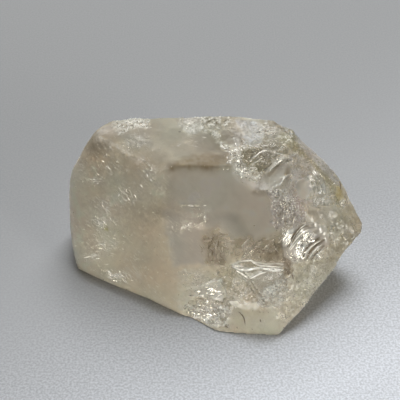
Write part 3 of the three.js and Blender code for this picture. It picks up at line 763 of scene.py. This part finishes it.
def depth_inside(pixels, outline):
    """How far each pixel lies inside an outline, and below 0 outside it."""
    corners = np.array(outline, float)
    distance = np.full(len(pixels), np.inf)
    inside = np.zeros(len(pixels), bool)
    for start, end in zip(corners, np.roll(corners, -1, axis=0)):
        off, side = off_side(pixels, start, end)
        distance = np.minimum(distance, np.linalg.norm(off, axis=1))
        if side[1]:
            crossing = start[0] + (pixels[:, 1] - start[1]) * side[0] / side[1]
            spans = (start[1] > pixels[:, 1]) != (end[1] > pixels[:, 1])
            inside ^= spans & (pixels[:, 0] < crossing)
    return np.where(inside, distance, -distance)


def side_of(pixels, line):
    """How far each pixel lies from a line of points, above 0 on its right as the line is followed."""
    distance = np.full(len(pixels), np.inf)
    for start, end in zip(np.array(line[:-1], float), np.array(line[1:], float)):
        off, side = off_side(pixels, start, end)
        length = np.linalg.norm(off, axis=1)
        turn = np.sign(side[0] * off[:, 1] - side[1] * off[:, 0])
        distance = np.where(length < np.abs(distance), turn * length, distance)
    return distance


def zone_mask(zone, pixels, facing, straying, cloud):
    depth = depth_inside(pixels, zone.outline) + zone.stray * straying
    return facing * smoothstep(-zone.fade, zone.fade, depth) * (1 - zone.patchy * (1 - cloud))


def paint(finish, mask, values):
    """Draws the finish towards values, as far as the mask says."""
    for key, value in values.items():
        share = mask[:, None] if finish[key].ndim == 2 else mask
        finish[key] = finish[key] + share * (np.array(value) - finish[key])


def crease_lift(crease, pixels, facing, straying, broken):
    """Height of a step or a ridge along an uneven line, and a mask of its edge, for a painted highlight or
    dark reflection.
    """
    off = side_of(pixels, crease.line) + crease.stray * straying
    if crease.reach:
        raised = smoothstep(-crease.width, crease.width, off) * np.exp(-np.maximum(off, 0) / crease.reach)
    else:
        raised = np.exp(-((off / crease.width) ** 2))
    edge = facing * np.exp(-((off / (CREASE_EDGE * crease.width)) ** 2)) * (broken if crease.broken else 1)
    return facing * crease.height * raised, edge


# ---------------------------------------------------------------- the crystal

def worn_down(co, normals, edges, share):
    """Rounds the creases of the worn end. A second pass gives back what the first took from all of it."""
    moved = relax(co, edges, share, WORN_ROUNDS)
    moved = moved + relax(co - moved, edges, share, WORN_ROUNDS)
    sunk = ((moved - co) * normals).sum(1)
    return moved + normals * (WORN_CAP * np.tanh(sunk / WORN_CAP) - sunk)[:, None]


def curvature(co, normals, edges):
    """How strongly the surface bulges at each point, per millimetre, a little blurred."""
    sunk = ((co - neighbour_mean(co, edges)) * normals).sum(1)
    a, b = edges.T
    apart = ((co[a] - co[b]) ** 2).sum(1)
    size = len(co)
    spacing = np.bincount(a, apart, size) + np.bincount(b, apart, size)
    spacing /= np.bincount(a, minlength=size) + np.bincount(b, minlength=size)
    return relax(sunk / spacing, edges, np.full(size, HALF_WAY), BLUR_ROUNDS)


def worn_mesh():
    """The crystal's mesh with its worn end rounded, and finer where the camera sees it."""
    mesh = voxel_copy(NODE, VOXEL)
    edges = edges_of(mesh)
    co = relax(points_of(mesh), edges, np.full(len(mesh.vertices), HALF_WAY), EVEN_ROUNDS)
    normals = normals_at(mesh, co)
    pixels, facing = pixels_of(co), facing_camera(co, normals)
    crisp = smoothstep(*FOOT_RIM, co[:, 2])
    kept = facing * smoothstep(*SHARP_EDGE_FADE, depth_inside(pixels, SHARP_EDGE))
    kept = np.maximum(kept, BACK_EDGE_SHARE * smoothstep(*BACK_EDGE, co[:, 1]))
    worn = smoothstep(*WORN_END, co[:, 0] + WORN_SLANT * (co[:, 1] + WORN_FROM)) * (1 - crisp) * (1 - kept)
    co = worn_down(co, normals, edges, WORN_SHARE * worn)
    shell = facing * smoothstep(*SHELL_FADE, depth_inside(pixels, SHELL))
    co = relax(co, edges, HALF_WAY * (1 - crisp) * (1 - shell), SOFT_ROUNDS)
    normals_at(mesh, co)
    return thinned(mesh, facing > 0)


def crystal_shape():
    """The crystal's mesh, its points and normals and its finish."""
    mesh = worn_mesh()
    edges = edges_of(mesh)
    co = points_of(mesh)
    normals = normals_at(mesh, co)
    pixels, facing = pixels_of(co), facing_camera(co, normals)
    straying = layered(noise_at, co, STRAYING)
    cloud = smoothstep(-CLOUD_EDGE, CLOUD_EDGE, layered(noise_at, co, CLOUDS))
    finish = {key: np.tile(value, (len(co), 1)) if key == "tint" else np.full(len(co), value)
              for key, value in PLAIN.items()}
    edge = smoothstep(*BULGING, curvature(co, normals, edges))
    paint(finish, edge * (EDGE_LEAST + (1 - EDGE_LEAST) * cloud) * smoothstep(*BROKEN_END, co[:, 0]), EDGE)
    for zone in ZONES.values():
        paint(finish, zone_mask(zone, pixels, facing, straying, cloud), zone.finish)

    lift = layered(noise_at, co, ROLLING)
    lift += finish["etch"] * layered(facets_at, co, FACETS)
    lift += finish["etch"] * GRAIN_HEIGHT * noise_at(co, *GRAIN)
    haze(finish, pixels, facing, cloud)
    broken = smoothstep(-BREAK_EDGE, BREAK_EDGE, layered(noise_at, co, BREAKS))
    for crease in CREASES.values():
        height, edge = crease_lift(crease, pixels, facing, straying, broken)
        lift += height
        # The crease's edge gets a painted highlight, or a painted dark reflection.
        paint(finish, edge * crease.share, PAINTED_EDGE_LIGHT_AND_SHADE[crease.edge])
    co = co + normals * (lift * (1 - smoothstep(*FOOT_RIM, co[:, 2])))[:, None]
    co = relax(co, edges, np.full(len(co), HALF_WAY), 1)
    co[:, 2] = np.maximum(co[:, 2], 0)
    return mesh, co, normals_at(mesh, co), finish


def haze(finish, pixels, facing, cloud):
    """Pale streaky haze about each veil."""
    for veil in VEILS.values():
        away = np.linalg.norm((pixels - veil.middle) / veil.reach, axis=1)
        mask = facing * np.exp(-HAZE_FALL * away ** 2)
        paint(finish, veil.haze * mask * cloud, HAZE)
        finish["streak"] = np.maximum(finish["streak"], mask * veil.streaks)


def mottle(finish, co):
    """Clouds of pinker and greener tint, and paler and darker ones."""
    warm, pale = layered(noise_at, co, WARMTH), layered(noise_at, co, PALENESS)
    shade = 1 + PALE_SHADE * pale
    finish["tint"] *= shade[:, None] * (1 + warm[:, None] * np.array(WARM_TINT))
    np.clip(finish["tint"], 0, PALEST, out=finish["tint"])
    finish["clear"] = np.clip(finish["clear"] - PALE_CLEAR * pale, 0, 1)
    streaky = smoothstep(*STREAKY, layered(noise_at, co, STREAKINESS))
    finish["streak"] *= LEAST_STREAK + (1 - LEAST_STREAK) * streaky


def place_piece(mesh, name, material):
    """Puts a mesh that is in millimetres into the scene, as a piece that rides on the crystal."""
    mesh.transform(Matrix.Scale(MM, 4))
    mesh.materials.clear()
    mesh.materials.append(material)
    piece = linked(name, mesh)
    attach(piece, "root")
    return piece


def make_crystal():
    mesh, co, normals, finish = crystal_shape()
    mottle(finish, co)
    tint = mesh.color_attributes.new("tint", "FLOAT_COLOR", "POINT")
    tint.data.foreach_set("color", np.concatenate([finish["tint"], np.ones((len(co), 1))], 1).ravel())
    for key in finish:
        if key != "tint":
            mesh.attributes.new(key, "FLOAT", "POINT").data.foreach_set("value", finish[key])
    surface = BVHTree.FromPolygons(co.tolist(), [tuple(face.vertices) for face in mesh.polygons])
    mesh.shade_smooth()
    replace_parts(place_piece(mesh, "crystal", crystal_material()), NODE)
    return surface, co, normals, finish


# ---------------------------------------------------------------- slivers

def sliver(middle, along, across, out, length, width, thick):
    """Points and faces of a thin pointed sliver, eight faces round its long axis."""
    halves = along * (length / 2), across * (width / 2), out * (thick / 2)
    points = [middle + half * side for half in halves for side in (1, -1)]
    faces = [(0, 2, 4), (2, 1, 4), (1, 3, 4), (3, 0, 4), (2, 0, 5), (1, 2, 5), (3, 1, 5), (0, 3, 5)]
    return points, faces


def place_parts(name, parts, material):
    """Joins slivers to one piece and puts it into the scene."""
    points, faces = [], []
    for part_points, part_faces in parts:
        faces += [tuple(index + len(points) for index in face) for face in part_faces]
        points += part_points
    mesh = bpy.data.meshes.new(name)
    mesh.from_pydata([tuple(point) for point in points], [], faces)
    place_piece(mesh, name, material)


def spot_on(surface, pixel):
    """The point of the surface that the camera sees at a pixel, and the surface's normal there."""
    return surface.ray_cast(*ray_through(pixel))[:2]


def glint_way(surface, place, normal, along, slant_cost):
    """The way in which a sliver along a line at a place best mirrors a light to the camera."""
    towards = -camera_frame()[3]
    halves = [normal]
    for light in LIGHTS.values():
        way = way_to(light.azimuth, light.elevation)
        clear = surface.ray_cast(place + normal * CLEAR_RISE, way)[0] is None
        if light.glossy and way.dot(normal) > 0 and clear:
            halves.append((towards + way).normalized())
    return min(halves[1:] or halves, key=lambda half: slant_cost * abs(along.dot(half)) - half.dot(normal))


def lifted(place, normal, out, width):
    """The middle of a sliver on the surface, raised so far that its leaning side isn't buried."""
    return place + normal * (STROKE_RISE + width / 2 * math.sqrt(max(1 - out.dot(normal) ** 2, 0)))


def stroke(surface, start, end, width, stray=(0, 0, 0)):
    """A thin sliver on the surface, between two pixels, that leans to mirror a light, but for its stray."""
    (a, normal), (b, _) = spot_on(surface, start), spot_on(surface, end)
    if a is None or b is None or (b - a).length < SHORTEST_STROKE:
        return None
    length = (b - a).length
    along = (b - a) / length
    facing = (glint_way(surface, a, normal, along, SLANT_COST) + Vector(stray)).normalized()
    lean = along.dot(facing)
    along = (along - facing * lean * min(1, MOST_LEAN / (length * abs(lean) + TINY))).normalized()
    out = (facing - along * along.dot(facing)).normalized()
    middle = lifted((a + b) / 2, normal, out, width / 2) + normal * (length / 2 * abs(along.dot(normal)))
    return sliver(middle, along, out.cross(along), out, length, width, STROKE_THICKNESS)


def stroke_parts(surface, lines, width):
    parts = [stroke(surface, start, end, width) for line in lines for start, end in zip(line[:-1], line[1:])]
    return [part for part in parts if part]


def spaced(line):
    """Points along a line of pixels, about RIBBON_STEP apart, and how far along it each is, from 0 to 1."""
    corners = np.array(line, float)
    far = np.concatenate([[0], np.cumsum(np.linalg.norm(np.diff(corners, axis=0), axis=1))])
    places = np.linspace(0, far[-1], max(LEAST_STEPS, round(far[-1] / RIBBON_STEP)))
    return np.stack([np.interp(places, far, column) for column in corners.T], 1), places / far[-1]


def ribbon(surface, line, width):
    """A thin pointed ribbon that lies along a line of pixels and mirrors a light as it goes."""
    pixels, shares = spaced(line)
    spots = [spot_on(surface, pixel) for pixel in pixels]
    if any(point is None for point, _ in spots):
        return None
    points, faces = [], []
    for i, ((place, normal), share) in enumerate(zip(spots, shares)):
        along = (spots[min(i + 1, len(spots) - 1)][0] - spots[max(i - 1, 0)][0]).normalized()
        facing = glint_way(surface, place, normal, along, RIBBON_SLANT_COST)
        out = (facing - along * along.dot(facing)).normalized()
        taper = max(math.sin(math.pi * share) ** RIBBON_TAPER, RIBBON_END)
        wide = out.cross(along) * (width / 2 * taper)
        thick = out * (STROKE_THICKNESS / 2)
        middle = lifted(place, normal, out, wide.length * 2)
        points += [middle + wide, middle + thick, middle - wide, middle - thick]
    for first in range(0, len(points) - 4, 4):
        faces += [(first + side, first + (side + 1) % 4, first + 4 + (side + 1) % 4, first + 4 + side)
                  for side in range(4)]
    last = len(points) - 4
    return points, faces + [(3, 2, 1, 0), (last, last + 1, last + 2, last + 3)]


def ribbon_parts(surface, lines, width):
    return [part for part in (ribbon(surface, line, width) for line in lines) if part]


def veil_parts(surface, veils, kind, stray, rng):
    """Needles strewn about the middle of each veil: those of its needles that are of one kind."""
    parts = []
    for veil in veils.values():
        for _ in range(round(veil.number * getattr(veil, kind))):
            middle = np.array(veil.middle) + rng.normal(0, VEIL_SPREAD, 2) * veil.reach
            turn = math.radians(veil.slant + rng.normal(0, veil.stray))
            half = rng.uniform(*veil.half) * np.array((math.cos(turn), math.sin(turn)))
            width = rng.uniform(*veil.width)
            lean = rng.normal(0, stray if veil.lean is None else veil.lean, 3)
            parts.append(stroke(surface, middle - half, middle + half, width, lean))
    return [part for part in parts if part]


def scattered(co, normals, weight, count, rng):
    """Points of the surface picked at random, more of them where the weight is higher."""
    weight = weight * (co[:, 2] > LOWEST_FLAKE)
    picks = rng.choice(len(co), count, p=weight / weight.sum())
    return [(Vector(co[i]), Vector(normals[i])) for i in picks]


def flake_parts(co, normals, weight, count, rng):
    """Flakes that lie between flat on the surface and facing up."""
    parts = []
    for point, normal in scattered(co, normals, weight, count, rng):
        tilted = (1 - FLAKE_UP) * normal + FLAKE_UP * UP + Vector(rng.normal(0, FLAKE_STRAY, 3))
        tilted = tilted.normalized()
        along = tilted.cross(Vector(rng.normal(0, 1, 3))).normalized()
        size = rng.uniform(*FLAKE_SIZES)
        parts.append(sliver(point - normal * FLAKE_SUNK, along, tilted.cross(along), tilted,
                            size * rng.uniform(*FLAKE_LENGTHS), size * FLAKE_WIDTH, FLAKE_THICKNESS))
    return parts


def needle_parts(co, normals, finish, rng):
    """Fine needles of the worn end that lie near one direction, a little below the surface."""
    parts = []
    way = Vector(STREAK_WAY).normalized()
    leftward = smoothstep(*NEEDLES_LEFT, normals[:, 0])
    for point, normal in scattered(co, normals, leftward * finish["streak"] ** 2, NEEDLES, rng):
        along = way + Vector(rng.normal(0, NEEDLE_STRAY, 3))
        along = (along - normal * along.dot(normal)).normalized()
        length = rng.uniform(*NEEDLE_LENGTHS)
        middle = point - normal * rng.uniform(*NEEDLE_SUNK)
        parts.append(sliver(middle, along, normal.cross(along), normal, length,
                            rng.uniform(*NEEDLE_BREADTHS), NEEDLE_THICKNESS))
    return parts


# ---------------------------------------------------------------- materials

class Graph:
    """A node tree whose nodes are made with their inputs: a number, a vector, a colour or a socket."""

    def __init__(self, tree):
        self.tree = tree

    def add(self, kind, inputs=None, **settings):
        node = self.tree.nodes.new(kind)
        for key, value in settings.items():
            setattr(node, key, value)
        self.feed_all(node, inputs or {})
        return node

    def feed_all(self, node, inputs):
        for key, value in inputs.items():
            self.feed(value, node.inputs[key])

    def feed(self, value, socket):
        if isinstance(value, bpy.types.NodeSocket):
            self.tree.links.new(value, socket)
        else:
            socket.default_value = value

    def place(self):
        return self.add("ShaderNodeTexCoord").outputs["Object"]

    def attribute(self, name, output="Fac"):
        return self.add("ShaderNodeAttribute", attribute_name=name).outputs[output]

    def grain(self, place, scale, output=0, **more):
        return self.add("ShaderNodeTexNoise", {"Vector": place, "Scale": scale, **more}).outputs[output]

    def cells(self, place, scale):
        return self.add("ShaderNodeTexVoronoi", {"Vector": place, "Scale": scale}).outputs["Color"]

    def math(self, operation, *values):
        return self.add("ShaderNodeMath", dict(enumerate(values)), operation=operation).outputs[0]

    def vector(self, operation, *values, output=0, **more):
        return self.add("ShaderNodeVectorMath", {**dict(enumerate(values)), **more},
                        operation=operation).outputs[output]

    def ramp(self, value, low, high, first=0.0, last=1.0):
        """first up to low, last from high, and a smooth way between."""
        return self.add("ShaderNodeMapRange", {"Value": value, "From Min": low, "From Max": high,
                                               "To Min": first, "To Max": last},
                        interpolation_type="SMOOTHSTEP").outputs[0]

    def mix(self, factor, first, last, blend="MIX"):
        node = self.tree.nodes.new("ShaderNodeMix")
        node.data_type, node.blend_type = "RGBA", blend
        colours = [socket for socket in node.inputs if socket.type == "RGBA"]
        for value, socket in zip((factor, first, last), (node.inputs["Factor"], *colours)):
            self.feed(value, socket)
        return next(socket for socket in node.outputs if socket.type == "RGBA")


def new_material(name):
    """A material, its shader and the graph to build it in."""
    material = bpy.data.materials.new(name)
    material.use_nodes = True
    return material, material.node_tree.nodes["Principled BSDF"], Graph(material.node_tree)


def drawn_noise(graph, place, waves, part):
    """Noise drawn out along X, 0 and 1 outside a part of it. waves are its lengths along and across."""
    along, across = (1 / (wave * MM) for wave in waves)
    drawn = graph.add("ShaderNodeMapping", {"Vector": place, "Scale": (along, across, across)}).outputs[0]
    return graph.ramp(graph.grain(drawn, 1.0, Detail=STREAK_DETAIL, Distortion=STREAK_DISTORTION), *part)


def streaks_of(graph, place):
    """Fine needles and broader veils along the streaks' way, as strong as the finish says."""
    turn = Vector((1, 0, 0)).rotation_difference(Vector(STREAK_WAY)).inverted().to_euler()
    turned = graph.add("ShaderNodeMapping", {"Vector": place, "Rotation": turn}).outputs[0]
    needles = drawn_noise(graph, turned, NEEDLE_WAVES, NEEDLE_PART)
    veils = graph.math("MULTIPLY", drawn_noise(graph, turned, VEIL_WAVES, VEIL_PART), VEIL_STRENGTH)
    return graph.math("MULTIPLY", graph.math("MAXIMUM", needles, veils), graph.attribute("streak"))


def glinting_normal(graph, strayed):
    """The surface's normal, leaning at random in each of many tiny cells."""
    tilt = graph.vector("SUBTRACT", graph.cells(strayed, GLINT_SCALE), HALF)
    scaled = graph.vector("SCALE", tilt, Scale=graph.attribute("glint"))
    normal = graph.add("ShaderNodeNewGeometry").outputs["Normal"]
    return graph.vector("NORMALIZE", graph.vector("ADD", normal, scaled))


def crystal_material():
    material, shader, graph = new_material("topaz")
    place = graph.place()
    streaks = streaks_of(graph, place)
    jitter = graph.grain(place, JITTER_SCALE, "Color")
    strayed = graph.vector("MULTIPLY_ADD", jitter, (JITTER, JITTER, JITTER), place)
    # Painted glints: pale cells of noise stand in for tiny faces that catch a light, and dark cells for
    # unlit ones.
    spark = graph.attribute("spark")
    painted_glint_cells = graph.add("ShaderNodeSeparateColor", {0: graph.cells(strayed, PAINTED_GLINT_SCALE)}).outputs[0]
    lit, unlit = (graph.math("MULTIPLY", graph.ramp(painted_glint_cells, *part), spark) for part in (PAINTED_GLINT_PART, PAINTED_UNLIT_PART))
    pale = graph.math("MAXIMUM", streaks, lit)

    darker = graph.mix(unlit, graph.attribute("tint", "Color"), (*PAINTED_UNLIT_TINT, 1), "MULTIPLY")
    clear = graph.math("MULTIPLY", graph.attribute("clear"), graph.ramp(pale, 0, 1, 1.0, PALE_CLEARNESS))
    fine = graph.grain(place, GRAIN_SCALE, Detail=GRAIN_DETAIL)
    grain = graph.math("MULTIPLY", fine, graph.attribute("etch"))
    height = graph.math("ADD", grain, graph.math("MULTIPLY", streaks, STREAK_HEIGHT))
    bump = graph.add("ShaderNodeBump", {
        "Height": height, "Distance": BUMP_DISTANCE, "Strength": BUMP_STRENGTH,
        "Normal": glinting_normal(graph, strayed)}).outputs["Normal"]
    graph.feed_all(shader, {
        "Base Color": graph.mix(pale, darker, (*PALE_STREAK_AND_GLINT, 1)), "Transmission Weight": clear,
        "Roughness": graph.attribute("rough"), "IOR": REFRACTION, "Coat Weight": graph.attribute("gloss"),
        "Coat Roughness": COAT_ROUGH, "Normal": bump, "Coat Normal": bump,
    })
    absorb = graph.add("ShaderNodeVolumeAbsorption",
                       {"Density": ABSORB_DENSITY, "Color": (*ABSORB_COLOUR, 1)})
    graph.feed(absorb.outputs["Volume"], material.node_tree.nodes["Material Output"].inputs["Volume"])
    return material


def plain_material(name, colour, rough, clear=0.0, mirror=0.0):
    """A sliver's material, clouded with a darker shade of its colour."""
    material, shader, graph = new_material(name)
    cloud = graph.grain(graph.place(), SLIVER_CLOUD_SCALE)
    darker = tuple(SLIVER_SHADE * part for part in colour)
    graph.feed_all(shader, {
        "Base Color": graph.mix(cloud, (*darker, 1), (*colour, 1)), "Roughness": rough,
        "Transmission Weight": clear, "Metallic": mirror, "IOR": REFRACTION,
    })
    return material


def floor_material():
    """Pale fine grained card with a painted pool of light, paler towards one corner."""
    material, shader, graph = new_material("card")
    place = graph.place()
    rise = graph.vector("DOT_PRODUCT", place, PAINTED_GLOW_RISE, output="Value")
    # The painted pool of light, growing towards one corner.
    painted_glow = graph.math("MULTIPLY", graph.math("EXPONENT", rise), PAINTED_GLOW)
    base = graph.mix(graph.math("MINIMUM", painted_glow, MOST_PAINTED_GLOW), (*CARD_DARK, 1), (*CARD_PALE, 1))
    grain = graph.grain(place, SPECKLE_SCALE, Detail=SPECKLE_DETAIL)
    fade = graph.ramp(rise, *SPECKLE_FADE)
    dark, pale = (graph.math("MULTIPLY_ADD", fade, side * SPECKLE, 1.0) for side in (-1, 1))
    speckle = graph.ramp(grain, *SPECKLE_PART, dark, pale)
    colour = graph.mix(1.0, base, speckle, "MULTIPLY")
    graph.feed_all(shader, {"Base Color": colour, "Roughness": CARD_ROUGH})
    return material


# ---------------------------------------------------------------- stage

def make_floor():
    bpy.ops.mesh.primitive_plane_add(size=CARD_SIZE, location=(0, 0, -CARD_SUNK * MM))
    floor = bpy.context.object
    floor.name = "floor"
    floor.data.materials.append(floor_material())


def make_light(name, light):
    """A round soft light that looks at the crystal."""
    away = way_to(light.azimuth, light.elevation)
    data = bpy.data.lights.new(name, "AREA")
    data.shape = "DISK"
    data.size = light.size
    data.energy = light.radiance * (math.pi * light.size / 2) ** 2
    data.color = light.colour
    lamp = linked(name, data)
    look_along(lamp, away * light.distance, -away)
    lamp.visible_glossy, lamp.visible_diffuse = light.glossy, light.diffuse
    lamp.visible_transmission = light.through


def make_world():
    """A soft room, paler above and behind the crystal than in front of it."""
    world = bpy.data.worlds.new("studio")
    world.use_nodes = True
    graph = Graph(world.node_tree)
    way = graph.add("ShaderNodeTexCoord").outputs["Generated"]
    share = graph.vector("DOT_PRODUCT", way, ROOM_WAY, output="Value")
    tone = graph.mix(graph.ramp(share, *ROOM_FADE), (*ROOM_DARK, 1), (*ROOM_PALE, 1))
    graph.feed(tone, world.node_tree.nodes["Background"].inputs["Color"])
    bpy.context.scene.world = world


def make_slivers(surface, co, normals, finish):
    """The five pieces of slivers. Their random draws follow one another."""
    rng = np.random.default_rng(SEED)
    broken = finish["glint"] ** 2
    flakes = flake_parts(co, normals, broken + finish["frost"], PALE_FLAKES, rng)
    # Dark flakes, a painted shade of unlit facets among the rough breaks.
    painted_shade_flakes = flake_parts(co, normals, broken * (1 - np.minimum(finish["frost"], 1)), DARK_FLAKES, rng)
    # Pale lips and ripple glints mirror a light and are partly a painted highlight.
    flakes += ribbon_parts(surface, LIPS, LIP_WIDTH) + ribbon_parts(surface, RIPPLE_GLINTS, GLINT_WIDTH)
    flakes += veil_parts(surface, VEILS, "solid", BRIGHT_STRAY, rng)
    place_parts("flakes", flakes, plain_material("pale_fracture", **PALE))
    place_parts("painted_shade_flakes", painted_shade_flakes, plain_material("shaded_fracture", **SHADED))
    needles = ribbon_parts(surface, THIN_LIPS, THIN_LIP_WIDTH)
    needles += ribbon_parts(surface, FAINT_LIPS, FAINT_LIP_WIDTH)
    needles += veil_parts(surface, VEILS, "bright", BRIGHT_STRAY, rng)
    place_parts("needles", needles, plain_material("bright_fracture", **BRIGHT))
    veils = needle_parts(co, normals, finish, rng) + stroke_parts(surface, PALE_STROKES, STROKE_WIDTH)
    veils += veil_parts(surface, VEILS, "faint", FAINT_STRAY, rng)
    place_parts("veils", veils, plain_material("faint_fracture", **FAINT))
    cracks = ribbon_parts(surface, DARK_STROKES, CRACK_WIDTH)
    # The ripple shell's dark lines, a painted dark reflection.
    cracks += ribbon_parts(surface, PAINTED_DARK_RIPPLE_LINES, RIPPLE_WIDTH)
    cracks += veil_parts(surface, CRACKLES, "bright", BRIGHT_STRAY, rng)
    place_parts("cracks", cracks, plain_material("dark_fracture", **DARK))


def main():
    make_slivers(*make_crystal())
    make_camera()
    make_floor()
    make_world()
    for name, light in LIGHTS.items():
        make_light(name, light)
    bpy.context.scene.view_settings.view_transform = "Standard"


main()
